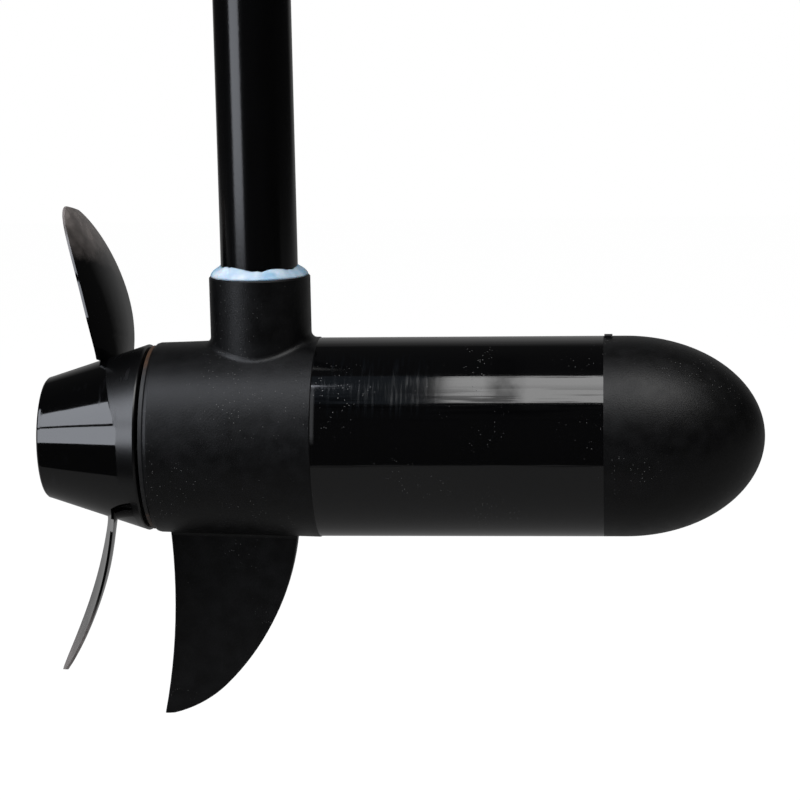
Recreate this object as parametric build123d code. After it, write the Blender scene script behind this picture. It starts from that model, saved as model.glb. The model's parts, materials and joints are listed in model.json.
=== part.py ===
from build123d import *
import math
import os

os.makedirs("parts", exist_ok=True)

# Submerged unit of an electric outboard motor, in millimetres.
# The shapes are drawn with the motor's axis on X, nose towards +X, and the column's axis on Z.
# The finished solids are lowered so that the origin is the centre of the column's upper end.

# Motor tube
tube_r = 41.25
tube_wall = 3.0
tube_length = 116.8
tube_start = 24.2

# Rear housing, one casting with the column's collar and the skeg
housing_length = 69.0
housing_lip = 0.35
housing_taper = 2.0
housing_rear_round = 2.2
housing_floor = 7.0
housing_rim_bevel = 0.4
spigot_length = 7.0
spigot_wall = 3.8
spigot_fit = 0.05
collar_wall = 5.0
collar_height = 26.1
collar_bevel = 0.6
collar_fillet = 2.6
skeg_depth = 119.3
skeg_root_front = 13.8
skeg_root_back = -40.6
skeg_tip_x = -45.6
skeg_root_thickness = 7.0
skeg_tip_thickness = 3.8
skeg_edge_bevel = 0.5
skeg_foot = 4.0
skeg_fillet = 2.0

# Column
column_r = 15.875
column_wall = 2.5
column_top = 250.0
column_seat_height = 0.4
column_seat_step = 0.25
column_fit = 0.05
bead_height = 4.0
bead_clearance = 0.3
bead_margin = 0.6
bead_toe = 1.2

# Nose cone
nose_straight = 9.0
nose_dome = 56.7
nose_wall = 4.0
nose_boss_wall = 3.0
nose_rib = 3.0
nib_length = 3.3
nib_width = 5.0
nib_height = 0.8
nib_setback = 0.4

# Square-section rubber seals in the two spigots
seal_width = 2.4
seal_depth = 1.6
seal_setback = 1.6

# Shaft, bearings and shaft seals
shaft_r = 5.0
shaft_shoulder = 1.0
shaft_proud = 2.7
bearing_wall = 3.0
bearing_length = 14.0
flange_width = 3.0
flange_thickness = 2.0
running_gap = 0.03
end_play = 0.3
thrust_thickness = 1.5
bearing_boss_wall = 4.0
bearing_setback = 28.8
shaft_seal_wall = 6.0
shaft_seal_width = 5.0
shaft_seal_gap = 0.5
seal_shoulder = 1.2

# Armature and magnets
magnet_thickness = 9.0
core_setback = 22.0
core_nose_setback = 24.8
slot_count = 12
slot_width = 4.2
slot_depth = 9.0
slot_liner = 0.2
coil_depth = 1.7
coil_gap = 3.0
coil_length = 9.0
coil_bevel = 3.0
air_gap = 0.6
magnet_arc = 130.0
magnet_overhang = 3.0
magnet_glue = 0.15

# Commutator and brush gear
commutator_wall = 7.0
commutator_length = 20.0
commutator_setback = 11.0
riser_height = 2.0
riser_length = 3.0
segment_gap = 0.6
segment_depth = 1.0
plate_setback = 12.2
plate_thickness = 2.5
plate_hole_gap = 4.0
plate_fit = 0.3
post_r = 4.0
post_inset = 4.9
post_angles = (135.0, 315.0)
screw_r = 1.5
screw_head_r = 2.8
screw_head = 2.0
screw_depth = 9.0
brush_width = 7.0
brush_length = 12.0
brush_height = 10.5
brush_gap = 0.1
brush_face_gap = 0.05
holder_wall = 1.2
holder_clearance = 1.2
holder_inset = 3.2
brush_travel = 3.0
spring_r = 2.2
spring_wire = 0.6
spring_turns = 3.0
tab_width = 6.3
tab_thickness = 1.0
tab_length = 12.0
tab_z = 22.0

# Through bolts
bolt_r = 2.5
bolt_inset = 2.9
bolt_head_r = 4.2
bolt_head = 4.5
bolt_clearance = 0.25
bolt_bite = 12.0
bolt_socket = 4.0
counterbore = 6.5
bolt_seal_thickness = 1.2
bolt_boss_r = 6.5
bolt_boss = 8.0

# Motor leads
lead_r = 2.0
lead_x = -5.0
lead_shaft_gap = 0.6
lead_top = 192.0
lead_bend = 4.5
connector_r = 3.0
connector_length = 20.0
connector_grip = 9.0
crimp_length = 9.0
crimp_grip = 2.0
crimp_wall = 0.8
grommet_inset = 0.75
grommet_fit = 0.075
grommet_flange = 3.0
grommet_recess = 0.5

# Propeller
hub_gap = 2.4
hub_length = 43.8
hub_step = 0.8
hub_taper = 13.2
hub_wall = 3.2
hub_rear_round = 1.8
hub_front_round = 1.0
hub_boss_wall = 9.0
hub_boss_front = 2.3
hub_boss_length = 24.5
hub_web_front = 14.5
hub_web = 4.0
hub_rib = 2.4
hub_rib_count = 6
hub_rib_reach = 12.0
hub_bore_fit = 0.05
pin_r = 1.6
pin_length = 25.0
pin_setback = 2.4
pin_slot_fit = 0.1
washer_width = 6.0
washer_thickness = 1.6
nut_width = 17.0
nut_height = 8.0

# Propeller blades, measured from the motor's axis
blade_count = 2
blade_rest_angle = 16.0
blade_tip = 97.9
blade_root_depth = 7.8
blade_widest = 56.2
blade_root_chord = 30.2
blade_chord = 43.7
blade_setback = 17.2
blade_rake = 19.0
blade_rake_power = 1.85
blade_sweep = 3.2
blade_root_angle = 14.0
blade_tip_angle = 19.4
blade_camber = 0.03
blade_root_thickness = 5.0
blade_thickness = 3.0
blade_tip_thickness = 1.4
blade_edge = 1.1
blade_stations = 8

# Brown ring that lies in the rear face of the housing
gap_ring_inset = 1.3
gap_ring_width = 2.0
gap_ring_thickness = 2.0
gap_ring_depth = 0.8

# Straight steps that stand for a round stretch of a turned outline
corner_steps = 3
dome_steps = 8
hollow_steps = 3

# Radii that follow from the sizes above
housing_front_r = tube_r + housing_lip
housing_rear_r = housing_front_r - housing_taper
tube_bore = tube_r - tube_wall
spigot_r = tube_bore - spigot_fit
cavity_r = spigot_r - spigot_wall
collar_r = column_r + collar_wall
column_seat_r = column_r - column_seat_step
column_bore = column_r - column_wall
grommet_r = column_bore - grommet_inset
grommet_flange_r = column_bore - grommet_fit
shaft_core_r = shaft_r + shaft_shoulder
bearing_r = shaft_r + bearing_wall
flange_r = bearing_r + flange_width
bearing_boss_r = flange_r + bearing_boss_wall
nose_boss_r = flange_r + nose_boss_wall
shaft_seal_r = shaft_r + shaft_seal_wall
armature_r = tube_bore - magnet_glue - magnet_thickness - air_gap
coil_r = armature_r - coil_depth
coil_inner_r = shaft_core_r + coil_gap
commutator_r = shaft_core_r + commutator_wall
riser_r = commutator_r + riser_height
plate_hole_r = commutator_r + plate_hole_gap
post_circle_r = cavity_r - post_inset
bolt_circle_r = cavity_r - bolt_inset
holder_top = cavity_r - holder_inset
lead_y = shaft_core_r + lead_r + lead_shaft_gap
hub_front_r = housing_rear_r - hub_step
hub_rear_r = hub_front_r - hub_taper
hub_boss_r = shaft_r + hub_boss_wall
washer_r = shaft_r + washer_width
blade_root = hub_front_r - blade_root_depth
gap_ring_outer_r = housing_rear_r - gap_ring_inset
gap_ring_inner_r = gap_ring_outer_r - gap_ring_width

# Heights above the motor's axis
column_seat = housing_front_r + column_seat_height
collar_top = housing_front_r + collar_height
bead_top = collar_top + bead_height
column_shoulder = bead_top + bead_clearance

# Stations along the motor's axis
nose_start = tube_start + tube_length
housing_back = tube_start - housing_length
housing_floor_x = housing_back + housing_floor
bearing_front = housing_back + bearing_setback
boss_front = bearing_front - flange_thickness
seal_floor = bearing_front - bearing_length - seal_shoulder
nose_bearing_back = nose_start - spigot_length - flange_thickness - seal_shoulder
nose_boss_back = nose_bearing_back + flange_thickness
rear_shoulder = bearing_front + thrust_thickness + end_play
nose_shoulder = nose_bearing_back - thrust_thickness - end_play
core_start = tube_start + core_setback
core_end = nose_start - core_nose_setback
commutator_start = tube_start - commutator_setback
commutator_end = commutator_start + commutator_length
plate_back = tube_start - plate_setback
plate_front = plate_back + plate_thickness
brush_x = plate_front + holder_wall + brush_gap + brush_length / 2
brush_foot = commutator_r + brush_face_gap
brush_top = brush_foot + brush_height
holder_foot = commutator_r + holder_clearance
hub_front = housing_back - hub_gap
hub_back = hub_front - hub_length
blade_x = hub_front - blade_setback
hub_boss_x = hub_front - hub_boss_front
hub_boss_back = hub_boss_x - hub_boss_length
pin_x = hub_boss_x - pin_setback
washer_back = hub_boss_back - washer_thickness
nut_back = washer_back - nut_height
shaft_back = nut_back - shaft_proud
shaft_nose = nose_bearing_back + bearing_length
counterbore_floor = housing_back + counterbore
bolt_end = nose_start + bolt_bite
tab_back = plate_front - tab_length


def rod(x0, x1, r, y=0.0, z=0.0):
    """Round bar along the motor's axis, from x0 to x1."""
    return Pos((x0 + x1) / 2, y, z) * Rot(0, 90, 0) * Cylinder(r, x1 - x0)


def ring(x0, x1, inner, outer, y=0.0, z=0.0):
    """Round tube along the motor's axis, from x0 to x1."""
    return rod(x0, x1, outer, y, z) - rod(x0 - 1, x1 + 1, inner, y, z)


def turned(*outline):
    """Solid turned about the motor's axis from its outline of (x, radius) points."""
    return revolve(Plane.XZ * make_face(Polyline(*outline, close=True)), Axis.X)


def block(x0, x1, y0, y1, z0, z1):
    """Rectangular block between two opposite corners."""
    place = Pos((x0 + x1) / 2, (y0 + y1) / 2, (z0 + z1) / 2)
    return place * Box(abs(x1 - x0), abs(y1 - y0), abs(z1 - z0))


def polar(r, angle):
    """Place on the plane across the axis, with the angle counted from +Y towards +Z."""
    return r * math.cos(math.radians(angle)), r * math.sin(math.radians(angle))


def corner(x, r, radius, outward):
    """Points that round the corner of a turned outline at (x, r); outward is -1 where the end faces -X."""
    points = []
    for step in range(corner_steps + 1):
        turn = math.pi / 2 * step / corner_steps
        points.append((x - outward * radius * (1 - math.cos(turn)), r - radius * (1 - math.sin(turn))))
    return points


def circle_edges(shape, x, r):
    """Edges of a turned shape that lie at station x with radius r."""
    circles = shape.edges().filter_by(GeomType.CIRCLE)
    return circles.filter_by(lambda e: abs(e.radius - r) < 0.01 and abs(e.arc_center.X - x) < 0.01)


# Casing

def skeg():
    """Fin below the housing: a flat plate with curved edges, thinner towards its lower end."""
    top = -housing_rear_r + 4
    reach = skeg_root_front - skeg_tip_x
    trailing_middle = (skeg_root_back + 0.5, -0.68 * skeg_depth)
    leading_middle = (skeg_tip_x + 0.82 * reach, -0.64 * skeg_depth)
    leading_bend = (skeg_tip_x + 0.46 * reach, -0.89 * skeg_depth)
    tip = (skeg_tip_x, -skeg_depth)
    foot_front = (skeg_tip_x + skeg_foot, -skeg_depth)
    leading = ThreePointArc((skeg_root_front, top), leading_middle, leading_bend)
    plate = make_face([
        ThreePointArc((skeg_root_back, top), trailing_middle, tip),
        Line(tip, foot_front),
        TangentArc(leading_bend, foot_front, tangent=leading % 1),
        leading,
        Line((skeg_root_back, top), (skeg_root_front, top)),
    ])
    plate = extrude(Plane.XZ * plate, skeg_root_thickness, both=True)
    half_root = skeg_root_thickness / 2
    half_tip = skeg_tip_thickness / 2
    wedge = make_face(Polyline(
        (-half_root, top), (half_root, top), (half_tip, -skeg_depth - 1), (-half_tip, -skeg_depth - 1), close=True))
    wedge = Pos(-100, 0, 0) * extrude(Plane.YZ * wedge, 200)
    fin = plate & wedge
    rims = fin.edges().filter_by(lambda e: e.length > 10 and e.bounding_box().size.Z > 2)
    return chamfer(rims, skeg_edge_bevel)


def housing_outside():
    rear_edge = corner(housing_back, housing_rear_r, housing_rear_round, -1)
    barrel = turned((housing_back, 0), *rear_edge, (tube_start, housing_front_r), (tube_start, 0))
    barrel = chamfer(circle_edges(barrel, tube_start, housing_front_r), housing_rim_bevel)
    collar = Pos(0, 0, collar_top / 2) * Cylinder(collar_r, collar_top)
    collar = chamfer(collar.edges().sort_by(Axis.Z)[-1], collar_bevel)
    body = barrel + collar
    body = fillet(new_edges(barrel, collar, combined=body), collar_fillet)
    fin = skeg()
    whole = body + fin
    sides = new_edges(body, fin, combined=whole).filter_by(lambda e: e.length > skeg_root_thickness)
    return fillet(sides, skeg_fillet)


def spigot(start, end):
    """Thin rim that enters the motor tube, with a groove for its seal."""
    shoulder = tube_start if start <= tube_start else nose_start
    inward = 1 if start <= tube_start else -1
    groove = sorted((shoulder + inward * seal_setback, shoulder + inward * (seal_setback + seal_width)))
    return rod(start, end, spigot_r) - ring(groove[0], groove[1], spigot_r - seal_depth, spigot_r + 1)


def rear_housing():
    casting = housing_outside() + spigot(tube_start - 1, tube_start + spigot_length)
    cavity = rod(housing_floor_x, tube_start + spigot_length + 1, cavity_r)
    cavity -= rod(housing_floor_x - 1, boss_front, bearing_boss_r)
    for angle in post_angles:
        y, z = polar(post_circle_r, angle)
        cavity -= rod(housing_floor_x - 1, plate_back, post_r, y, z)
    for side in (1, -1):
        cavity -= rod(housing_floor_x - 1, counterbore_floor + bolt_boss, bolt_boss_r, side * bolt_circle_r)
    casting -= cavity
    casting -= rod(seal_floor, boss_front + 1, bearing_r)
    casting -= rod(housing_back - 1, seal_floor, shaft_seal_r)
    casting -= ring(housing_back - 1, housing_back + gap_ring_depth, gap_ring_inner_r, gap_ring_outer_r)
    for side in (1, -1):
        y = side * bolt_circle_r
        casting -= rod(housing_back - 1, counterbore_floor, bolt_head_r + bolt_clearance, y)
        casting -= rod(housing_back, counterbore_floor + bolt_boss + 1, bolt_r + bolt_clearance, y)
    for angle in post_angles:
        y, z = polar(post_circle_r, angle)
        casting -= rod(plate_back - screw_depth, plate_back + 1, screw_r, y, z)
    socket = Pos(0, 0, (column_seat + collar_top + 1) / 2)
    casting -= socket * Cylinder(column_seat_r + column_fit, collar_top + 1 - column_seat)
    casting -= Pos(0, 0, (column_seat + cavity_r - 4) / 2) * Cylinder(grommet_r, column_seat - cavity_r + 4)
    return casting


def motor_tube():
    return ring(tube_start, nose_start, tube_bore, tube_r)


def nose_dome_outline(inset, steps):
    """Quarter of an ellipse from the widest part of the dome to near its tip, drawn in by the inset."""
    points = []
    for step in range(steps):
        turn = math.pi / 2 * step / steps
        x = nose_start + nose_straight + (nose_dome - inset) * math.sin(turn)
        points.append((x, (tube_r - inset) * math.cos(turn)))
    return points


def nose_cone():
    back = nose_start - spigot_length
    tip = nose_start + nose_straight + nose_dome
    outside = turned(
        (back, 0), (back, spigot_r), (nose_start, spigot_r), (nose_start, tube_r),
        *nose_dome_outline(0, dome_steps), (tip, 0))
    groove_front = nose_start - seal_setback
    outside -= ring(groove_front - seal_width, groove_front, spigot_r - seal_depth, spigot_r + 1)
    inner = nose_dome_outline(nose_wall, hollow_steps)
    hollow = turned((back - 1, 0), (back - 1, cavity_r), (nose_start, cavity_r), (nose_start, tube_r - nose_wall),
                    *inner, (inner[-1][0], 0))
    hollow -= rod(nose_boss_back, nose_start + 100, nose_boss_r)
    for side in (1, -1):
        hollow -= rod(nose_start, nose_start + 100, bolt_boss_r, side * bolt_circle_r)
        rib = (side * (nose_boss_r - 1), side * tube_r)
        hollow -= block(nose_start, nose_start + 100, *rib, -nose_rib / 2, nose_rib / 2)
        hollow -= block(nose_start, nose_start + 100, -nose_rib / 2, nose_rib / 2, *rib)
    cone = outside - hollow
    cone -= rod(nose_boss_back - 3, shaft_nose + end_play * 2, bearing_r)
    for side in (1, -1):
        cone -= rod(nose_start - 1, bolt_end + 2, bolt_r, side * bolt_circle_r)
    nib_start = nose_start + nib_setback
    nib = block(nib_start, nib_start + nib_length, -nib_width / 2, nib_width / 2, tube_r - 2, tube_r + nib_height)
    return cone + nib


def column():
    """Round tube, turned down a little where it sits in the collar and the bead."""
    seat_height = column_shoulder - column_seat
    free_height = column_top - column_shoulder
    tube = Pos(0, 0, column_seat + seat_height / 2) * Cylinder(column_seat_r, seat_height)
    tube += Pos(0, 0, column_shoulder + free_height / 2) * Cylinder(column_r, free_height)
    return tube - Pos(0, 0, column_top / 2) * Cylinder(column_bore, column_top + 2)


def sealant_bead():
    inner = column_seat_r
    outer = collar_r - bead_margin
    outline = Polyline(
        (inner, collar_top), (outer, collar_top), (outer - bead_toe, collar_top + 0.6 * bead_height),
        (inner, bead_top), close=True)
    return revolve(Plane.XZ * make_face(outline), Axis.Z)


def gap_ring():
    start = housing_back + gap_ring_depth - gap_ring_thickness
    return ring(start, housing_back + gap_ring_depth, gap_ring_inner_r, gap_ring_outer_r)


def tube_seal(groove_start):
    return ring(groove_start, groove_start + seal_width, spigot_r - seal_depth, tube_bore)


# Shaft line

def shaft():
    bar = rod(shaft_back, shaft_nose, shaft_r) + rod(rear_shoulder, nose_shoulder, shaft_core_r)
    bar = chamfer(circle_edges(bar, shaft_back, shaft_r), 0.8)
    bar -= Pos(pin_x, 0, 0) * Cylinder(pin_r, 4 * shaft_r)
    return bar


def flanged_bearing(flange_end, inward):
    """Bronze bush with its flange at flange_end; inward is +1 where the bush runs towards +X."""
    ends = sorted((flange_end, flange_end + inward * bearing_length))
    flange = sorted((flange_end, flange_end + inward * flange_thickness))
    bush = rod(ends[0], ends[1], bearing_r) + rod(flange[0], flange[1], flange_r)
    return bush - rod(ends[0] - 1, ends[1] + 1, shaft_r + running_gap)


def thrust_washer(start):
    return ring(start, start + thrust_thickness, shaft_r + running_gap, flange_r - 1)


def shaft_seal(end):
    return ring(end - shaft_seal_width, end, shaft_r + running_gap, shaft_seal_r)


# Armature and magnets

def slots(width, inner, outer, start, end):
    """Bars along the axis, one for each slot."""
    bars = []
    for i in range(slot_count):
        bar = block(start, end, -width / 2, width / 2, inner, outer)
        bars.append(Rot(360 * i / slot_count, 0, 0) * bar)
    return bars


def armature_core():
    core = rod(core_start, core_end, armature_r)
    floor = armature_r - slot_depth
    for bar in slots(slot_width, floor, armature_r + 1, core_start - 1, core_end + 1):
        core -= bar
    return core - rod(core_start - 1, core_end + 1, shaft_core_r)


def coil_end(start, end):
    """Bundle of end turns beside the core, bevelled on its outer side."""
    bundle = ring(start, end, coil_inner_r, coil_r)
    outer_x = start if end == core_start else end
    return chamfer(circle_edges(bundle, outer_x, coil_r), coil_bevel)


def armature_windings():
    coils = coil_end(core_start - coil_length, core_start) + coil_end(core_end, core_end + coil_length)
    width = slot_width - 2 * slot_liner
    floor = armature_r - slot_depth + slot_liner
    for bar in slots(width, floor, coil_r - 0.3, core_start - 1, core_end + 1):
        coils += bar
    return coils


def magnet(side):
    start = core_start - magnet_overhang
    end = core_end + magnet_overhang
    shell = ring(start, end, armature_r + air_gap, tube_bore - magnet_glue)
    reach = 2 * tube_r
    half = math.radians(magnet_arc / 2)
    wedge = make_face(Polyline(
        (0, 0), (-reach * math.sin(half), reach * math.cos(half)), (-reach, 2 * reach),
        (reach, 2 * reach), (reach * math.sin(half), reach * math.cos(half)), close=True))
    sector = Pos(start - 1, 0, 0) * extrude(Plane.YZ * wedge, end - start + 2)
    return Rot(0 if side > 0 else 180, 0, 0) * (shell & sector)


# Commutator and brush gear

def commutator():
    drum = rod(commutator_start, commutator_end, commutator_r)
    drum += rod(commutator_end - riser_length, commutator_end, riser_r)
    for bar in slots(segment_gap, commutator_r - segment_depth, riser_r + 1, commutator_start - 1, commutator_end + 1):
        drum -= bar
    return drum - rod(commutator_start - 1, commutator_end + 1, shaft_core_r)


def brush_plate():
    plate = ring(plate_back, plate_front, plate_hole_r, cavity_r - plate_fit)
    for side in (1, -1):
        plate -= rod(plate_back - 1, plate_front + 1, bolt_r + 3 * bolt_clearance, side * bolt_circle_r)
        tab_y = (-side * lead_y - tab_width / 2, -side * lead_y + tab_width / 2)
        tab_low = side * tab_z - tab_thickness / 2
        plate -= block(plate_back - 1, plate_front + 1, *tab_y, tab_low, tab_low + tab_thickness)
    for angle in post_angles:
        y, z = polar(post_circle_r, angle)
        plate -= rod(plate_back - 1, plate_front + 1, screw_r, y, z)
    return plate


def plate_screws():
    screws = []
    for angle in post_angles:
        y, z = polar(post_circle_r, angle)
        screw = rod(plate_back - screw_depth, plate_front, screw_r, y, z)
        screws.append(screw + rod(plate_front, plate_front + screw_head, screw_head_r, y, z))
    return screws


def brush_holder(side):
    half_x = brush_length / 2 + brush_gap
    half_y = brush_width / 2 + brush_gap
    wall = holder_wall
    outside = block(
        brush_x - half_x - wall, brush_x + half_x + wall, -half_y - wall, half_y + wall, holder_foot, holder_top)
    inside = block(brush_x - half_x, brush_x + half_x, -half_y, half_y, holder_foot - 1, holder_top - wall)
    box = outside - inside
    ear = block(plate_front, plate_front + wall, -lead_y - tab_width / 2, 0, tab_z - 3, tab_z + 3)
    tab_y = (-lead_y - tab_width / 2, -lead_y + tab_width / 2)
    tab = block(tab_back, plate_front + wall, *tab_y, tab_z - tab_thickness / 2, tab_z + tab_thickness / 2)
    holder = box + (ear - inside) + tab
    return Rot(0 if side > 0 else 180, 0, 0) * holder


def brush(side):
    half_x = brush_length / 2
    half_y = brush_width / 2
    carbon = block(brush_x - half_x, brush_x + half_x, -half_y, half_y, brush_foot - 2, brush_top)
    carbon -= rod(brush_x - brush_length, brush_x + brush_length, brush_foot)
    return Rot(0 if side > 0 else 180, 0, 0) * carbon


def brush_spring(side):
    length = holder_top - holder_wall - brush_top
    pitch = (length - spring_wire) / spring_turns
    path = Helix(pitch, pitch * spring_turns, spring_r)
    start = path @ 0
    wire = Plane(origin=start, z_dir=path % 0) * Rectangle(spring_wire * 0.8, spring_wire * 0.8)
    coil = sweep(wire, path=path, is_frenet=True)
    coil = Pos(brush_x, 0, brush_top + spring_wire / 2) * coil
    return Rot(0 if side > 0 else 180, 0, 0) * coil


# Through bolts

def through_bolts():
    bolts = []
    head_front = counterbore_floor - bolt_seal_thickness
    for side in (1, -1):
        y = side * bolt_circle_r
        bolt = rod(head_front, bolt_end, bolt_r, y) + rod(head_front - bolt_head, head_front, bolt_head_r, y)
        hexagon = Plane.YZ * Pos(y, 0) * RegularPolygon(bolt_socket / 2, 6, major_radius=False)
        bolts.append(bolt - Pos(head_front - bolt_head - 1, 0, 0) * extrude(hexagon, bolt_head / 2 + 1))
    return bolts


def bolt_seals():
    start = counterbore_floor - bolt_seal_thickness
    return [ring(start, counterbore_floor, bolt_r, bolt_head_r, side * bolt_circle_r) for side in (1, -1)]


# Motor leads

lead_end = tab_back - 1.0
upper_lead_route = [
    (lead_x, -lead_y, lead_top),
    (lead_x, -lead_y, tab_z),
    (lead_end, -lead_y, tab_z),
]
lower_lead_route = [
    (lead_x, lead_y, lead_top),
    (lead_x, lead_y, -tab_z),
    (lead_end, lead_y, -tab_z),
]


def lead(route):
    path = FilletPolyline(*route, radius=lead_bend)
    section = Plane(origin=path @ 0, z_dir=path % 0) * Circle(lead_r)
    return sweep(section, path=path)


def lead_grommet():
    height = column_seat - cavity_r - grommet_recess
    body = Pos(0, 0, column_seat - height / 2) * Cylinder(grommet_r, height)
    flange = Pos(0, 0, column_seat + grommet_flange / 2) * Cylinder(grommet_flange_r, grommet_flange)
    plug = body + flange
    for side in (1, -1):
        plug -= Pos(lead_x, side * lead_y, column_seat) * Cylinder(lead_r, 60)
    return plug


def lead_connectors():
    """Insulated bullet connectors on the upper ends of the leads."""
    sleeves = []
    for side in (1, -1):
        base = lead_top - connector_grip
        sleeve = Pos(lead_x, side * lead_y, base + connector_length / 2) * Cylinder(connector_r, connector_length)
        bore = Pos(lead_x, side * lead_y, base) * Cylinder(lead_r, 2 * connector_grip)
        sleeves.append(sleeve - bore)
    return sleeves


def tab_crimps():
    """Brass receptacles that join the leads to the tabs of the brush holders."""
    crimps = []
    for side in (1, -1):
        y = -side * lead_y
        z = side * tab_z
        start = lead_end - crimp_grip
        crimp = block(start, start + crimp_length, y - tab_width / 2 - crimp_wall, y + tab_width / 2 + crimp_wall,
                      z - lead_r - crimp_wall, z + lead_r + crimp_wall)
        crimp -= rod(start - 1, lead_end, lead_r, y, z)
        crimp -= block(tab_back, start + crimp_length + 1, y - tab_width / 2, y + tab_width / 2,
                       z - tab_thickness / 2, z + tab_thickness / 2)
        crimps.append(crimp)
    return crimps


# Propeller

def hub_cone(inset, front, back):
    """Part of the hub's cone between two stations, drawn in by the inset."""
    slope = (hub_front_r - hub_rear_r) / hub_length
    r_front = hub_front_r - slope * (hub_front - front) - inset
    r_back = hub_front_r - slope * (hub_front - back) - inset
    return turned((front, 0), (front, r_front), (back, r_back), (back, 0))


def blade_section(share):
    """Cross-section of a blade at a share of its height, from root (0) to tip (1)."""
    height = blade_root + (blade_tip - blade_root) * share
    widest = (blade_widest - blade_root) / (blade_tip - blade_root)
    if share < widest:
        chord = blade_chord - (blade_chord - blade_root_chord) * ((widest - share) / widest) ** 2
        thickness = blade_root_thickness + (blade_thickness - blade_root_thickness) * min(2 * share / widest, 1)
    else:
        outward = (share - widest) / (1 - widest)
        chord = blade_chord * math.sqrt(1 - outward ** 2)
        thickness = blade_thickness + (blade_tip_thickness - blade_thickness) * outward
    angle = blade_root_angle + (blade_tip_angle - blade_root_angle) * share
    rake = blade_rake * share ** blade_rake_power
    sweep_back = blade_sweep * share ** 2
    half = chord / 2
    rise = blade_camber * chord
    edge = min(blade_edge, thickness) / 2
    outline = make_face([
        ThreePointArc((-half, edge), (0, rise + thickness / 2), (half, edge)),
        Line((half, edge), (half, -edge)),
        ThreePointArc((half, -edge), (0, rise - thickness / 2), (-half, -edge)),
        Line((-half, -edge), (-half, edge)),
    ])
    chord_dir = (math.sin(math.radians(angle)), math.cos(math.radians(angle)), 0)
    place = Plane(origin=(blade_x - rake, -sweep_back, height), x_dir=chord_dir, z_dir=(0, 0, -1))
    return place * outline


def blade():
    last = 0.985
    turns = [math.sin(math.pi / 2 * i / (blade_stations - 1)) for i in range(blade_stations)]
    sections = [blade_section(last * turn) for turn in turns]
    return Rot(-blade_rest_angle, 0, 0) * loft(sections)


def propeller():
    front_edge = corner(hub_front, hub_front_r, hub_front_round, 1)
    rear_edge = corner(hub_back, hub_rear_r, hub_rear_round, -1)
    hub = turned((hub_back, 0), *rear_edge, *reversed(front_edge), (hub_front, 0))
    for i in range(blade_count):
        hub += Rot(360 * i / blade_count, 0, 0) * blade()
    web_front = hub_front - hub_web_front
    web_back = web_front - hub_web
    front_hollow = hub_cone(hub_wall, hub_front + 1, web_front)
    rear_hollow = hub_cone(hub_wall, web_back, hub_back - 1)
    boss = rod(hub_boss_back, hub_boss_x, hub_boss_r)
    front_hollow -= boss
    rear_hollow -= boss
    for i in range(hub_rib_count):
        turn = Rot(360 * (i + 0.5) / hub_rib_count, 0, 0)
        half = hub_rib / 2
        front_hollow -= turn * block(web_front, hub_boss_x, -half, half, hub_boss_r - 1, hub_front_r)
        rear_hollow -= turn * block(web_back - hub_rib_reach, web_back, -half, half, hub_boss_r - 1, hub_front_r)
    hub -= front_hollow
    hub -= rear_hollow
    hub -= rod(hub_boss_back - 1, hub_boss_x + 1, shaft_r + hub_bore_fit)
    slot = pin_r + pin_slot_fit
    hub -= block(pin_x - slot, hub_boss_x + 1, -slot, slot, -pin_length / 2 - 1, pin_length / 2 + 1)
    return hub


def drive_pin():
    return Pos(pin_x, 0, 0) * Cylinder(pin_r, pin_length)


def propeller_washer():
    return ring(washer_back, hub_boss_back, shaft_r + hub_bore_fit, washer_r)


def propeller_nut():
    hexagon = extrude(Plane.YZ * RegularPolygon(nut_width / 2, 6, major_radius=False), nut_height)
    nut = Pos(nut_back, 0, 0) * hexagon
    return nut - rod(nut_back - 1, washer_back + 1, shaft_r)


rear_groove = tube_start + seal_setback
nose_groove = nose_start - seal_setback - seal_width
seal_step = shaft_seal_width + shaft_seal_gap
nodes = {
    "column": column(),
    "sealant_bead": sealant_bead(),
    "rear_housing": rear_housing(),
    "motor_tube": motor_tube(),
    "nose_cone": nose_cone(),
    "gap_ring": gap_ring(),
    "rear_tube_seal": tube_seal(rear_groove),
    "nose_tube_seal": tube_seal(nose_groove),
    "magnet_upper": magnet(1),
    "magnet_lower": magnet(-1),
    "rear_bearing": flanged_bearing(bearing_front, -1),
    "nose_bearing": flanged_bearing(nose_bearing_back, 1),
    "rear_thrust_washer": thrust_washer(bearing_front),
    "nose_thrust_washer": thrust_washer(nose_bearing_back - thrust_thickness),
    "inner_shaft_seal": shaft_seal(seal_floor),
    "outer_shaft_seal": shaft_seal(seal_floor - seal_step),
    "brush_plate": brush_plate(),
    "brush_plate_screws": plate_screws(),
    "brush_holder_upper": brush_holder(1),
    "brush_holder_lower": brush_holder(-1),
    "brush_upper": brush(1),
    "brush_lower": brush(-1),
    "brush_spring_upper": brush_spring(1),
    "brush_spring_lower": brush_spring(-1),
    "through_bolts": through_bolts(),
    "through_bolt_seals": bolt_seals(),
    "lead_upper": lead(upper_lead_route),
    "lead_lower": lead(lower_lead_route),
    "lead_grommet": lead_grommet(),
    "lead_connectors": lead_connectors(),
    "tab_crimps": tab_crimps(),
    "shaft": shaft(),
    "armature_core": armature_core(),
    "armature_windings": armature_windings(),
    "commutator": commutator(),
    "propeller": propeller(),
    "drive_pin": drive_pin(),
    "propeller_washer": propeller_washer(),
    "propeller_nut": propeller_nut(),
}

lower = Pos(0, 0, -column_top)
for name, shape in nodes.items():
    solids = shape if isinstance(shape, list) else [shape]
    moved = [lower * solid for solid in solids]
    export_step(moved[0] if len(moved) == 1 else Compound(children=moved), f"parts/{name}.step")
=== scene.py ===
import bmesh
import bpy
import json
import math
from mathutils import Matrix, Vector, noise


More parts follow.
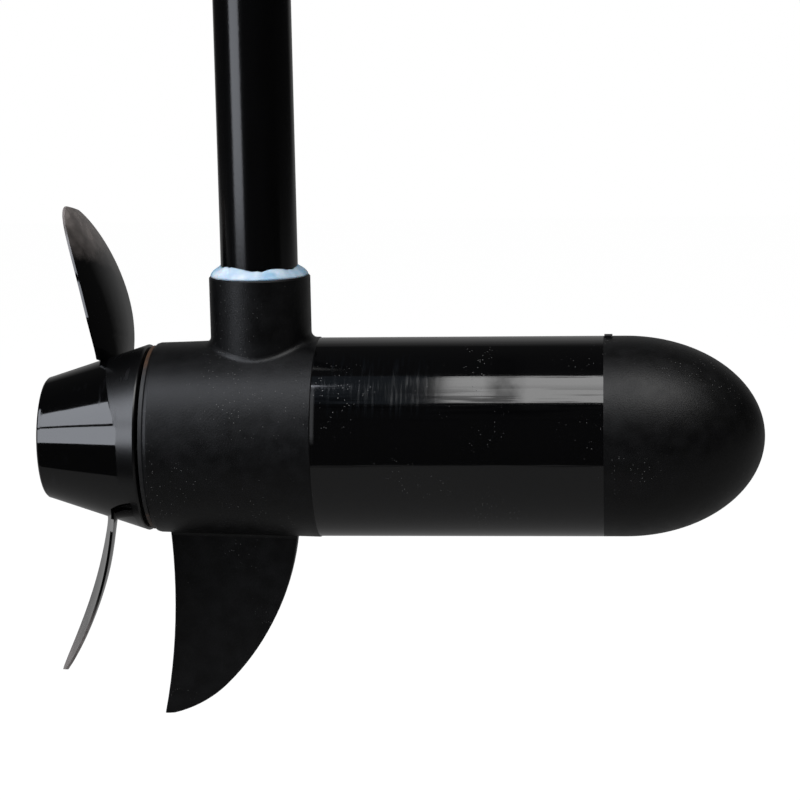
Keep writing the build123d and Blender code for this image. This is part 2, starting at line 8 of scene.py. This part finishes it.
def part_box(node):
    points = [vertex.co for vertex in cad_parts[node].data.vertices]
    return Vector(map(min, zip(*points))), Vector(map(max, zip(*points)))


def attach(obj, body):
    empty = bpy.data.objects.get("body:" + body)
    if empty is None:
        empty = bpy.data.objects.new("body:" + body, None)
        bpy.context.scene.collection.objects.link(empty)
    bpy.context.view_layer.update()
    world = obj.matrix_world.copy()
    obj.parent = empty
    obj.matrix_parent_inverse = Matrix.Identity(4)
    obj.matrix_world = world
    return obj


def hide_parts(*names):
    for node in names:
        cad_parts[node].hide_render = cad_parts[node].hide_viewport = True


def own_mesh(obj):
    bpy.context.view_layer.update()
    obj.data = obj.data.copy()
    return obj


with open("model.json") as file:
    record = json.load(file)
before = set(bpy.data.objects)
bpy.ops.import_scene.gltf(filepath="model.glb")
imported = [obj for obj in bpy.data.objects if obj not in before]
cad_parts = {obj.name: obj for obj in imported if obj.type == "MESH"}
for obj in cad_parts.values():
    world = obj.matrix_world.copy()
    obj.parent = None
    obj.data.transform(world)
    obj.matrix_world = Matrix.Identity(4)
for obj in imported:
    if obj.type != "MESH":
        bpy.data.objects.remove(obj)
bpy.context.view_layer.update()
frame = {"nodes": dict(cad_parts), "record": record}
nodes = frame["nodes"]

MM = 0.001

# Places taken from the frame
tube_low, tube_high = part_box("motor_tube")
column_low, column_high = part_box("column")
bead_low, bead_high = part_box("sealant_bead")
nose_tip_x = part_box("nose_cone")[1].x
axis_z = (tube_low.z + tube_high.z) / 2
tube_r = (tube_high.z - tube_low.z) / 2
column_r = (column_high.y - column_low.y) / 2
bead_r = (bead_high.y - bead_low.y) / 2

# Camera, fitted to the photograph
camera_place = Vector((0.14524, -0.97071, -0.06597))
camera_yaw = math.radians(5.19)
camera_pitch = math.radians(9.82)
camera_roll = math.radians(-1.091)
camera_lens = 107.63
sensor_width = 36.0

# Nose cone: a straight stretch ahead of the tube, then the dome, and how far the coarse skin lies from both
nose_straight = 9 * MM
nose_turns = 160
nose_steps = 44
skin_reach = 0.3 * MM
seam_reach = 0.01 * MM
sharp_angle = math.radians(35)

# Sealant: its uneven outer radius, its uneven height and its lumps
bead_turns = 150
bead_steps = 9
bead_sink = 0.1 * MM
bead_inset = 0.2 * MM
bead_waves = (0.35 * MM, 0.3 * MM)
height_waves = (1.2 * MM, 0.4 * MM)
lump_size = 0.35 * MM

# Marks on the tube, and a painted highlight at its seam with the housing: heights from its axis and stations along
# it
scuffed_heights = (axis_z + 17 * MM, axis_z + 35 * MM)
lined_heights = (axis_z + 18 * MM, axis_z + 21 * MM)
seam_glint_heights = (axis_z + 8 * MM, axis_z + 24 * MM)
scuffs_fade = (80 * MM, 66 * MM)
seam_glint_fade = (26 * MM, 25.2 * MM)
haze_stations = (99 * MM, 105 * MM)

# Mould parting line on the hub: it slants over the near side, then steps forward below the axis
line_heights = (9.7 * MM, 33 * MM)
line_stations = (-55.4 * MM, -63.6 * MM)
line_step_heights = (-13.6 * MM, -21.6 * MM)
line_step = 4.2 * MM
line_width = 0.25 * MM

# Blade tips, worn dull and painted pale as a painted sheen: distance from the axis where this starts and is full,
# and how ragged its edge is
tip_wear_and_sheen_start, tip_wear_and_sheen_full = 70 * MM, 94 * MM
tip_wear_and_sheen_ragged = 9 * MM

# Where the gap ring keeps its own brown, above and below the axis; elsewhere it is painted near-black as painted
# shade in the gap
top_brown_end = (axis_z + 30 * MM, axis_z + 33 * MM)
bottom_brown_end = (axis_z - 25 * MM, axis_z - 28 * MM)

# Studio: the floor's outline and depth, and how bright each thing looks
floor_outline = [(2.5, -0.5), (2.5, 3), (-2.5, 3), (-2.5, 0), (-0.4, 0), (-0.06, -0.5)]
floor_drop = 0.2
floor_camera_share = 0.9
floor_white = 1.1
floor_mirror_level = 0.25
backdrop_directions = (0.72, 0.92)
backdrop_mirror_level = 0.27
room_level = 0.03
window_level = 5.5


# Materials

class Nodes:
    """Short ways to add nodes to a tree and to link them."""

    def __init__(self, tree):
        self.tree = tree

    def add(self, kind, inputs=None, **settings):
        node = self.tree.nodes.new(kind)
        for name, value in settings.items():
            setattr(node, name, value)
        for name, value in (inputs or {}).items():
            self.give(node.inputs[name], value)
        return node

    def give(self, socket, value):
        if isinstance(value, bpy.types.NodeSocket):
            self.tree.links.new(value, socket)
        else:
            socket.default_value = value

    def math(self, operation, a, b=0.0, clamp=False):
        return self.add("ShaderNodeMath", {0: a, 1: b}, operation=operation, use_clamp=clamp).outputs["Value"]

    def times(self, a, b):
        return self.math("MULTIPLY", a, b)

    def sum(self, a, b):
        return self.math("ADD", a, b)

    def plus(self, a, b):
        """Sum of two masks, at most 1."""
        return self.math("ADD", a, b, clamp=True)

    def spread(self, value, start, end, low=0.0, high=1.0):
        """Low at start and high at end, or the other way round where end is below start."""
        inputs = {"Value": value, "From Min": start, "From Max": end, "To Min": low, "To Max": high}
        return self.add("ShaderNodeMapRange", inputs).outputs["Result"]

    def mix(self, share, a, b):
        return self.add("ShaderNodeMix", {0: share, 6: a, 7: b}, data_type="RGBA").outputs[2]


class Finish(Nodes):
    """A Principled material with short ways to add procedural textures to it."""

    def __init__(self, name, roughness, metallic=0.0):
        self.material = bpy.data.materials.new(name)
        self.material.use_nodes = True
        super().__init__(self.material.node_tree)
        self.shader = self.tree.nodes["Principled BSDF"]
        self.set("Metallic", metallic)
        self.set("Roughness", roughness)
        self.place = self.add("ShaderNodeTexCoord").outputs["Object"]
        axes = self.add("ShaderNodeSeparateXYZ", {0: self.place})
        self.x, self.y, self.z = axes.outputs

    def set(self, name, value):
        self.give(self.shader.inputs[name], value)

    def bump(self, height, distance, strength):
        node = self.add("ShaderNodeBump", {"Height": height, "Distance": distance, "Strength": strength})
        self.set("Normal", node.outputs["Normal"])

    def stretched(self, stretch):
        return self.add("ShaderNodeMapping", {"Vector": self.place, "Scale": stretch}).outputs["Vector"]

    def noise(self, scale, detail=2.0, stretch=(1, 1, 1)):
        inputs = {"Vector": self.stretched(stretch), "Scale": scale, "Detail": detail}
        return self.add("ShaderNodeTexNoise", inputs).outputs["Fac"]

    def cells(self, scale):
        return self.add("ShaderNodeTexVoronoi", {"Vector": self.stretched((1, 1, 1)), "Scale": scale})

    def band(self, value, start, end, edge):
        """1 between start and end, with soft edges."""
        return self.times(self.spread(value, start - edge, start), self.spread(value, end + edge, end))

    def dust(self, scale, radius, share):
        """Mask of small specks: cells near their centres, for a share of the cells."""
        cells = self.cells(scale)
        near = self.spread(cells.outputs["Distance"], radius, 0.5 * radius)
        tags = self.add("ShaderNodeSeparateColor", {"Color": cells.outputs["Color"]}).outputs["Red"]
        return self.times(near, self.spread(tags, 1 - share, 1.001 - share))

    def grains(self):
        """A few single larger grains of dust."""
        return self.dust(scale=300, radius=0.045, share=0.05)

    def specks(self):
        """Dust that lies in loose clusters, with a few single larger grains."""
        clusters = self.spread(self.noise(scale=38), 0.53, 0.64)
        return self.plus(self.times(self.dust(scale=1100, radius=0.22, share=0.22), clusters), self.grains())


def rgb(value, tint=(1.0, 1.0, 1.0)):
    return (value * tint[0], value * tint[1], value * tint[2], 1.0)


def shade(colour, share):
    return (*[min(c * share, 1.0) for c in colour], 1.0)


def tones(colour, low, high):
    """A darker and a lighter tone of a colour."""
    return shade(colour, low), shade(colour, high)


# The blacks are photographed far deeper than their plain colours
deep_black = {"low": 0.04, "high": 0.12}
dust_colour = rgb(0.14, (1.0, 0.98, 0.94))


def column_paint(colour):
    """Satin paint with a faint orange peel and soft rub marks along the column."""
    f = Finish("satin_black_paint", 0.33)
    rubs = f.noise(scale=60, detail=3, stretch=(1, 1, 0.12))
    f.set("Base Color", f.mix(f.spread(rubs, 0.35, 0.7), *tones(colour, **deep_black)))
    f.set("Specular IOR Level", 0.32)
    f.set("Roughness", f.spread(rubs, 0.3, 0.7, 0.14, 0.2))
    f.bump(f.noise(scale=900), 0.00003, strength=0.5)
    return f.material


def moulded_black(name, colour, roughness, grain):
    """Matt textured black with fine grain, dull rub patches and dust."""
    f = Finish(name, roughness)
    rubs = f.noise(scale=170, detail=6)
    specks = f.specks()
    base = f.mix(f.spread(rubs, 0.35, 0.7), *tones(colour, **deep_black))
    f.set("Base Color", f.mix(specks, base, dust_colour))
    f.set("Specular IOR Level", 0.26)
    f.set("Roughness", f.plus(f.spread(rubs, 0.3, 0.7, roughness - 0.04, roughness + 0.04), specks))
    f.bump(f.plus(f.noise(grain), specks), 0.0001, strength=0.6)
    return f.material


def tube_gloss(colour):
    """Gloss paint over a drawn tube: fine lines along it, scuffs round its rear, haze and dust, and a painted
    highlight along its seam with the housing.
    """
    f = Finish("gloss_black_tube", 0.12)
    draw_lines = f.noise(scale=700, stretch=(0.03, 1, 1))
    scuffs = f.noise(scale=900, detail=3, stretch=(1, 0.1, 0.1))
    clouds = f.noise(scale=160, detail=3)
    specks = f.specks()

    upper = f.band(f.z, *scuffed_heights, edge=3 * MM)
    worn = f.times(f.spread(scuffs, 0.5, 0.7), f.times(upper, f.spread(f.x, *scuffs_fade)))
    seam_glint = f.times(f.spread(f.x, *seam_glint_fade), f.band(f.z, *seam_glint_heights, edge=4 * MM))
    base = f.mix(worn, shade(colour, 0.08), rgb(0.002, (0.7, 0.9, 1.2)))
    # Painted highlight: a lighter grey sliver at the tube's rear end stands for a reflection of the left window
    base = f.mix(seam_glint, base, rgb(0.03))
    f.set("Base Color", f.mix(specks, base, dust_colour))

    lines = f.times(f.spread(draw_lines, 0.47, 0.56), f.band(f.z, *lined_heights, edge=6 * MM))
    haze = f.times(f.band(f.x, *haze_stations, edge=6 * MM), f.spread(clouds, 0.3, 0.6, 0.3, 0.8))
    dull = f.plus(lines, f.times(haze, upper))
    f.set("Specular IOR Level", f.spread(dull, 0, 1, 0.56, 0.16))
    f.set("Roughness", f.plus(f.spread(worn, 0, 1, 0.07, 0.16), specks))
    f.bump(f.plus(draw_lines, f.times(specks, 0.5)), 0.0001, strength=0.25)
    return f.material


def gloss_plastic(colour):
    """Polished plastic, duller ahead of the mould's parting line, with light marks, and blade tips that are worn
    dull and painted pale as a painted sheen.
    """
    f = Finish("gloss_black_plastic", 0.07)
    above = f.math("SUBTRACT", f.z, axis_z)
    up = f.times(f.math("SUBTRACT", axis_z, f.z), f.math("SIGN", f.y))
    line_x = f.sum(f.spread(up, *line_heights, *line_stations), f.spread(up, *line_step_heights, 0, line_step))
    front = f.spread(f.math("SUBTRACT", f.x, line_x), -line_width, line_width)

    out = f.math("SQRT", f.sum(f.times(above, above), f.times(f.y, f.y)))
    ragged = f.spread(f.noise(scale=45, detail=4), 0.3, 0.7, -tip_wear_and_sheen_ragged, tip_wear_and_sheen_ragged)
    mottled = f.spread(f.noise(scale=150, detail=5), 0.35, 0.65, 0.5, 1.0)
    worn_tip_and_painted_sheen = f.times(f.spread(f.sum(out, ragged), tip_wear_and_sheen_start, tip_wear_and_sheen_full), mottled)

    marks = f.spread(f.noise(scale=240, detail=4, stretch=(1, 0.25, 0.25)), 0.62, 0.8)
    base = f.mix(marks, *tones(colour, low=0.05, high=0.4))
    # Painted sheen: the pale pinkish grey on the blade tips stands for a glow of light on them; their added
    # roughness is wear
    base = f.mix(worn_tip_and_painted_sheen, base, rgb(0.22, (1.0, 0.88, 0.82)))
    f.set("Base Color", f.mix(f.grains(), base, dust_colour))
    polish = f.plus(f.spread(marks, 0, 1, 0.05, 0.2), f.times(front, 0.22))
    f.set("Roughness", f.plus(polish, f.times(worn_tip_and_painted_sheen, 0.3)))
    f.bump(f.sum(f.noise(scale=22, detail=1), f.times(front, 0.15)), 0.0006, strength=0.25)
    return f.material


def gap_rubber(colour):
    """Rubber ring, painted almost black as the shade in the gap between hub and housing, with its own brown kept
    only at its top and bottom.
    """
    f = Finish("rubber_with_painted_gap_shade", 0.55)
    blotches = f.noise(scale=220, detail=3)
    ends = f.plus(f.spread(f.z, *top_brown_end), f.spread(f.z, *bottom_brown_end))
    brown_ends = f.times(ends, f.spread(blotches, 0.35, 0.55))
    # Painted shade: the near-black stands for the shade in the gap between hub and housing; the ring's brown shows
    # only at its top and bottom
    painted_gap_shade = f.mix(blotches, rgb(0.002), rgb(0.008))
    f.set("Base Color", f.mix(brown_ends, painted_gap_shade, shade(colour, 0.14)))
    f.bump(f.noise(scale=900, detail=3), 0.00005, strength=0.5)
    return f.material


def sealant(colour):
    """Smeared sealant: white to pale blue, with soft lumps."""
    f = Finish("blue_white_sealant", 0.42)
    tint = f.spread(f.noise(scale=70, detail=3), 0.35, 0.65)
    f.set("Base Color", f.mix(tint, (0.24, 0.4, 0.54, 1), (0.62, 0.68, 0.72, 1)))
    f.set("Subsurface Weight", 0.15)
    f.set("Subsurface Scale", 0.002)
    f.bump(f.noise(scale=420, detail=4), 0.0003, strength=0.6)
    return f.material


def rubber(name, colour, roughness=0.62):
    """Rubber with a greyish bloom."""
    f = Finish(name, roughness)
    bloom = f.noise(scale=160, detail=4)
    f.set("Base Color", f.mix(f.spread(bloom, 0.4, 0.75), *tones(colour, 0.85, 1.6)))
    f.set("Roughness", f.spread(bloom, 0.3, 0.7, roughness - 0.08, roughness + 0.08))
    f.bump(f.noise(scale=1400), 0.00004, strength=0.5)
    return f.material


def metal(name, colour, roughness, stretch=(1, 1, 1)):
    """Bare metal with machining lines across the stretched direction and slight staining."""
    f = Finish(name, roughness, metallic=1.0)
    lines = f.noise(scale=500, detail=3, stretch=stretch)
    stains = f.noise(scale=70, detail=4)
    f.set("Base Color", f.mix(f.spread(stains, 0.35, 0.7), *tones(colour, 0.72, 1.1)))
    f.set("Roughness", f.spread(lines, 0.3, 0.7, roughness - 0.07, roughness + 0.1))
    f.bump(lines, 0.00003, strength=0.5)
    return f.material


def plain_plastic(name, colour, roughness=0.5):
    """Moulded plastic with faint clouds of tone."""
    f = Finish(name, roughness)
    clouds = f.noise(scale=90, detail=3)
    f.set("Base Color", f.mix(f.spread(clouds, 0.3, 0.7), *tones(colour, 0.88, 1.1)))
    f.set("Roughness", f.spread(clouds, 0.3, 0.7, roughness - 0.06, roughness + 0.06))
    f.bump(f.noise(scale=1100), 0.00004, strength=0.5)
    return f.material


def patterned(name, colour, roughness, pattern, span, shades, relief, metallic=0.0):
    """Two tones of a colour in one fine pattern, which also stands out a little."""
    f = Finish(name, roughness, metallic)
    texture = f.noise(**pattern)
    f.set("Base Color", f.mix(f.spread(texture, *span), *tones(colour, *shades)))
    f.bump(texture, relief[0], strength=relief[1])
    return f.material


def laminate(colour):
    """Pressed fibre board with short fibres."""
    fibres = {"scale": 900, "detail": 4, "stretch": (1, 1, 0.15)}
    return patterned("brown_laminate", colour, 0.55, fibres, (0.35, 0.65), (0.7, 1.3), (0.00005, 0.5))


def lamination_stack(colour):
    """Thin steel sheets stacked along the motor's axis, under varnish."""
    sheets = {"scale": 2200, "detail": 1, "stretch": (1, 0.01, 0.01)}
    return patterned("lamination_stack", colour, 0.4, sheets, (0.4, 0.6), (0.6, 1.3), (0.00006, 0.6), metallic=0.7)


def copper_wire(colour):
    """Enamelled wire wound in many turns."""
    wires = {"scale": 1100, "detail": 2, "stretch": (0.15, 1, 1)}
    return patterned("copper_windings", colour, 0.3, wires, (0.35, 0.65), (0.5, 1.3), (0.0003, 0.8), metallic=0.85)


def ferrite(colour):
    """Sintered magnet ceramic with fine grains."""
    grains = {"scale": 1600, "detail": 3}
    return patterned("ferrite", colour, 0.6, grains, (0.35, 0.65), (0.7, 1.4), (0.00006, 0.7))


turned_lines = (1, 0.05, 0.05)
finishes = {
    "column_paint": column_paint,
    "sealant": sealant,
    "housing_paint": lambda colour: moulded_black("matt_black_casting", colour, 0.42, grain=1500),
    "tube_gloss": tube_gloss,
    "nose_paint": lambda colour: moulded_black("matt_black_nose", colour, 0.44, grain=1800),
    "brown_ring": gap_rubber,
    "seal_rubber": lambda colour: rubber("black_rubber", colour),
    "ferrite": ferrite,
    "bronze": lambda colour: metal("sintered_bronze", colour, 0.42),
    "nylon": lambda colour: plain_plastic("natural_nylon", colour),
    "card": laminate,
    "zinc_steel": lambda colour: metal("zinc_plate", colour, 0.34),
    "brass": lambda colour: metal("brass", colour, 0.3),
    "carbon": lambda colour: plain_plastic("brush_carbon", colour, 0.6),
    "spring_steel": lambda colour: metal("spring_steel", colour, 0.3),
    "stainless": lambda colour: metal("stainless_steel", colour, 0.24, turned_lines),
    "lead_red": lambda colour: rubber("red_insulation", colour, 0.4),
    "lead_black": lambda colour: rubber("black_insulation", colour, 0.4),
    "connector_sleeve": lambda colour: plain_plastic("blue_sleeve", colour, 0.35),
    "core_steel": lamination_stack,
    "copper_wire": copper_wire,
    "copper_bar": lambda colour: metal("turned_copper", colour, 0.28, turned_lines),
    "propeller_gloss": gloss_plastic,
}
colours = {entry["slot"]: entry["base_color"] for entry in frame["record"]["materials"]}
materials = {slot: finishes[slot](colour) for slot, colour in colours.items()}


def dress(piece, slot):
    piece.data.materials.clear()
    piece.data.materials.append(materials[slot])
    for face in piece.data.polygons:
        face.material_index = 0


for entry in frame["record"]["subparts"]:
    dress(nodes[entry["node"]], entry["material_slot"])


# Pieces made here

def add_rows(mesh, rows, wrap=False):
    """Faces between neighbouring rows of points; each row closes on itself."""
    pairs = list(zip(rows, rows[1:]))
    if wrap:
        pairs.append((rows[-1], rows[0]))
    faces = []
    for near, far in pairs:
        for i in range(len(near)):
            j = (i + 1) % len(near)
            faces.append(mesh.faces.new((near[i], near[j], far[j], far[i])))
    return faces


def finish_piece(name, mesh, faces, node, slot):
    """Smooth piece on the casing, in the place of one node."""
    bmesh.ops.recalc_face_normals(mesh, faces=faces)
    for face in faces:
        face.smooth = True
    data = bpy.data.meshes.new(name)
    mesh.to_mesh(data)
    mesh.free()
    piece = bpy.data.objects.new(name, data)
    bpy.context.scene.collection.objects.link(piece)
    dress(piece, slot)
    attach(piece, "casing")
    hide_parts(node)
    return piece


def dome_r(x):
    """Radius of the nose's outside at station x."""
    dome_start = tube_high.x + nose_straight
    forward = max(x - dome_start, 0) / (nose_tip_x - dome_start)
    return tube_r * math.sqrt(max(1 - forward ** 2, 0))


def nose_ring(mesh, x):
    ring = []
    r = dome_r(x)
    for i in range(nose_turns):
        turn = 2 * math.pi * i / nose_turns
        ring.append(mesh.verts.new((x, r * math.cos(turn), axis_z + r * math.sin(turn))))
    return ring


def smooth_nose():
    """Nose cone with its inner form kept and its outside turned again in fine steps."""
    mesh = bmesh.new()
    mesh.from_mesh(nodes["nose_cone"].data)

    def on_skin(vert):
        r = math.hypot(vert.co.y, vert.co.z - axis_z)
        return vert.co.x > tube_high.x - seam_reach and abs(r - dome_r(vert.co.x)) < skin_reach

    coarse = [face for face in mesh.faces if all(on_skin(vert) for vert in face.verts)]
    bmesh.ops.delete(mesh, geom=coarse, context="FACES")
    dome_start = tube_high.x + nose_straight
    rings = [nose_ring(mesh, tube_high.x)]
    for step in range(nose_steps):
        along = math.sin(math.pi / 2 * step / nose_steps)
        rings.append(nose_ring(mesh, dome_start + (nose_tip_x - dome_start) * along))
    faces = add_rows(mesh, rings)
    tip = mesh.verts.new((nose_tip_x, 0, axis_z))
    for i in range(nose_turns):
        faces.append(mesh.faces.new((rings[-1][i], rings[-1][(i + 1) % nose_turns], tip)))
    piece = finish_piece("nose_shell", mesh, faces, "nose_cone", "nose_paint")
    if "custom_normal" in piece.data.attributes:
        piece.data.attributes.remove(piece.data.attributes["custom_normal"])
    piece.data.set_sharp_from_angle(angle=sharp_angle)


def sealant_smear():
    """Uneven ring of sealant, thumbed into the corner between the collar and the column."""
    mesh = bmesh.new()
    inner = column_r - bead_sink
    rows = []
    for i in range(bead_turns):
        turn = 2 * math.pi * i / bead_turns
        round_x, round_y = math.cos(turn), math.sin(turn)
        slow = noise.noise(Vector((round_x, round_y, 0.3)) * 1.7)
        quick = noise.noise(Vector((round_x, round_y, 2.6)) * 7)
        outer = bead_r - bead_inset + bead_waves[0] * slow + bead_waves[1] * quick
        height = bead_high.z - bead_low.z + height_waves[0] * slow + height_waves[1] * quick
        profile = [(inner, 0)]
        for step in range(bead_steps + 1):
            rise = step / bead_steps
            lump = lump_size * noise.noise(Vector((round_x * 5, round_y * 5, rise * 2)))
            r = outer + (inner - outer) * rise ** 1.3 + lump * math.sin(math.pi * rise)
            profile.append((r, height * rise ** 0.75))
        rows.append([mesh.verts.new((r * round_x, r * round_y, bead_low.z + z)) for r, z in profile])
    faces = add_rows(mesh, rows, wrap=True)
    finish_piece("sealant_smear", mesh, faces, "sealant_bead", "sealant")


def squash_spring(side):
    """Gives the spring on this side a mesh of its own; its shape is left as it is."""
    spring = nodes[f"brush_spring_{side}"]
    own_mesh(spring)


smooth_nose()
sealant_smear()
squash_spring("upper")
squash_spring("lower")


# Studio

def floor():
    """Pale floor, clear from below, with an edge in front above which a dark room mirrors."""
    mesh = bmesh.new()
    mesh.faces.new([mesh.verts.new((x, y, axis_z - floor_drop)) for x, y in floor_outline])
    data = bpy.data.meshes.new("floor")
    mesh.to_mesh(data)
    mesh.free()
    plane = bpy.data.objects.new("floor", data)
    bpy.context.scene.collection.objects.link(plane)
    made = bpy.data.materials.new("pale_floor")
    made.use_nodes = True
    made.node_tree.nodes.clear()
    n = Nodes(made.node_tree)
    path = n.add("ShaderNodeLightPath").outputs
    share = n.plus(n.times(path["Is Camera Ray"], floor_camera_share), path["Is Glossy Ray"])
    strength = n.spread(path["Is Glossy Ray"], 0, 1, floor_white, floor_mirror_level)
    paper = n.add("ShaderNodeBsdfDiffuse", {"Color": rgb(0.8)})
    white = n.add("ShaderNodeEmission", {"Color": rgb(1.0), "Strength": strength})
    top = n.add("ShaderNodeMixShader", {0: share, 1: paper.outputs[0], 2: white.outputs[0]})
    from_below = n.add("ShaderNodeNewGeometry").outputs["Backfacing"]
    clear = n.add("ShaderNodeBsdfTransparent")
    mixed = n.add("ShaderNodeMixShader", {0: from_below, 1: top.outputs[0], 2: clear.outputs[0]})
    n.add("ShaderNodeOutputMaterial", {"Surface": mixed.outputs[0]})
    data.materials.append(made)


def softbox(name, target, azimuth, elevation, distance, width, height, level, tint=(1, 1, 1)):
    """Square lamp that faces the target; azimuth 0 is in front (-Y) and 90 at the right (+X)."""
    lamp = bpy.data.lights.new(name, "AREA")
    lamp.shape = "RECTANGLE"
    lamp.size = width
    lamp.size_y = height
    lamp.energy = level * math.pi * width * height
    lamp.color = tint
    piece = bpy.data.objects.new(name, lamp)
    bpy.context.scene.collection.objects.link(piece)
    a, e = math.radians(azimuth), math.radians(elevation)
    away = Vector((math.sin(a) * math.cos(e), -math.cos(a) * math.cos(e), math.sin(e)))
    piece.location = target + distance * away
    piece.rotation_mode = "QUATERNION"
    piece.rotation_quaternion = away.to_track_quat("Z", "Y")


def softboxes():
    """A window over the tube, faint sky above the housing, and a window with a bar at the left."""
    at_tube, at_housing, at_hub = (Vector((x, 0, axis_z)) for x in (0.41, -0.15, -0.07))
    over = {"azimuth": 0, "elevation": 64.5, "distance": 0.95}
    softbox("window_over_tube", at_tube, **over, width=0.8, height=0.56, level=5.2)
    softbox("sky_over_tube", at_housing, **over, width=0.3, height=0.6, level=0.12, tint=(0.7, 0.9, 1.15))
    left = {"azimuth": -46, "distance": 1.0, "width": 0.55, "level": window_level, "tint": (0.92, 0.96, 1.05)}
    softbox("window_left_low", at_hub, elevation=9, height=0.36, **left)
    softbox("window_left_high", at_hub, elevation=48, height=0.98, **left)


def studio_world():
    """White for the camera. Mirrored rays meet a dim room with a pale backdrop behind the part."""
    world = bpy.data.worlds.new("studio")
    bpy.context.scene.world = world
    world.use_nodes = True
    world.node_tree.nodes.clear()
    n = Nodes(world.node_tree)
    path = n.add("ShaderNodeLightPath").outputs
    mirrored = n.plus(path["Is Glossy Ray"], path["Is Transmission Ray"])
    direction = n.add("ShaderNodeTexCoord").outputs["Generated"]
    backward = n.add("ShaderNodeSeparateXYZ", {0: direction}).outputs["Y"]
    backdrop = n.spread(backward, *backdrop_directions, room_level, backdrop_mirror_level)
    room = n.mix(mirrored, rgb(room_level), backdrop)
    colour = n.mix(path["Is Camera Ray"], room, rgb(1.0))
    background = n.add("ShaderNodeBackground", {"Color": colour})
    n.add("ShaderNodeOutputWorld", {"Surface": background.outputs[0]})


def camera():
    lens = bpy.data.cameras.new("camera")
    lens.lens = camera_lens
    lens.sensor_width = sensor_width
    piece = bpy.data.objects.new("camera", lens)
    bpy.context.scene.collection.objects.link(piece)
    level = math.cos(camera_pitch)
    forward = Vector((-math.sin(camera_yaw) * level, math.cos(camera_yaw) * level, -math.sin(camera_pitch)))
    right = forward.cross(Vector((0, 0, 1))).normalized()
    up = right.cross(forward)
    tilted_right = right * math.cos(camera_roll) + up * math.sin(camera_roll)
    tilted_up = up * math.cos(camera_roll) - right * math.sin(camera_roll)
    turn = Matrix((tilted_right, tilted_up, -forward)).transposed()
    piece.matrix_world = Matrix.Translation(camera_place) @ turn.to_4x4()
    bpy.context.scene.camera = piece


floor()
studio_world()
softboxes()
camera()

bpy.context.scene.view_settings.view_transform = "Standard"
